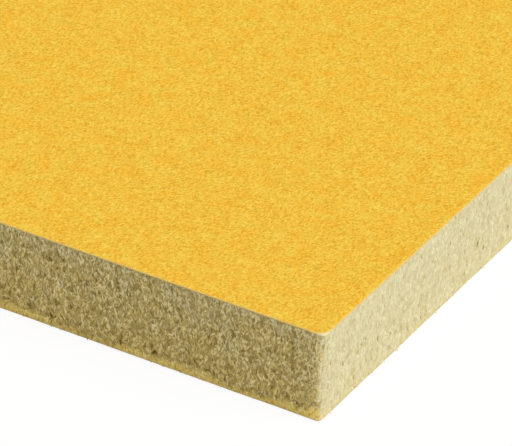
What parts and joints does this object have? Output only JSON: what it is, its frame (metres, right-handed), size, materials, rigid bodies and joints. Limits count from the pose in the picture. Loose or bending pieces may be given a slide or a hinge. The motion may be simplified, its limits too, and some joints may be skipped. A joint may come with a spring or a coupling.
{
  "type": "mineral wool panel",
  "caption": "Flat square slab of fibrous stone wool with raw sawn edges and a painted yellow fleece on its front, for lining ceilings and walls to absorb sound.",
  "frame": {"origin": "middle of the rear face, on which the panel lies", "axes": "+Z through the thickness, from the rear face to the painted front; +X and +Y along the sawn edges"},
  "size_m": [0.6, 0.6, 0.02],
  "materials": {
    "stone_wool": "matte",
    "painted_fleece": "matte"
  },
  "bodies": {
    "root": {"wool_core": "stone_wool", "face_fleece": "painted_fleece"}
  },
  "joints": []
}
